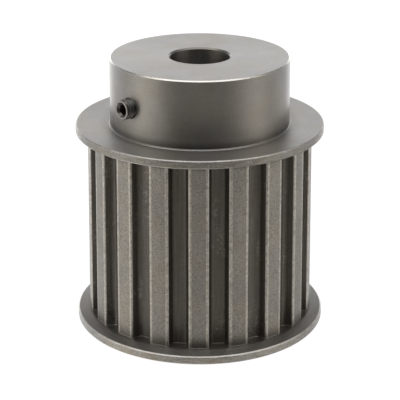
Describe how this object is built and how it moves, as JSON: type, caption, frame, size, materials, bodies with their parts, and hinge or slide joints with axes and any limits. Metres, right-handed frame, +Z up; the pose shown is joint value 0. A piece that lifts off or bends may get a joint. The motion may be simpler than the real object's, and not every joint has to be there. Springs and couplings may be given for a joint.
{
  "type": "timing belt pulley",
  "caption": "Flanged steel timing belt pulley with trapezoidal belt grooves, a plain-bored hub on one side and socket set screws that clamp it to a shaft.",
  "frame": {"origin": "centre of the bore in the plane of the outer flange's rim and the body's end face, the flat end away from the hub", "axes": "+Z along the bore towards the hub's end face; -Y is the front, midway on a belt tooth to within a degree; +X is to the right seen from the front with +Z up"},
  "size_m": [0.079, 0.079, 0.0856],
  "materials": {
    "body_steel": "turned and hobbed steel, dull grey with a faint brown cast, satin hub and grainy tooth lands",
    "flange_steel": "rolled and turned steel ring, semi-satin, light worn edges",
    "screw_black": "black oxide alloy steel with a lightly worn socket face"
  },
  "bodies": {
    "pulley": {"toothed_body": "body_steel", "hub_side_flange": "flange_steel", "outer_flange": "flange_steel"},
    "front_screw": {"set_screw_front": "screw_black"},
    "rear_screw": {"set_screw_rear": "screw_black"}
  },
  "joints": [
    {"name": "front_screw_travel", "type": "slide", "parent": "pulley", "child": "front_screw", "axis": [0.7547, 0.6561, 0], "range_m": [-0.006, 0.0093]},
    {"name": "rear_screw_travel", "type": "slide", "parent": "pulley", "child": "rear_screw", "axis": [0.6561, -0.7547, 0], "range_m": [-0.006, 0.0072]}
  ]
}
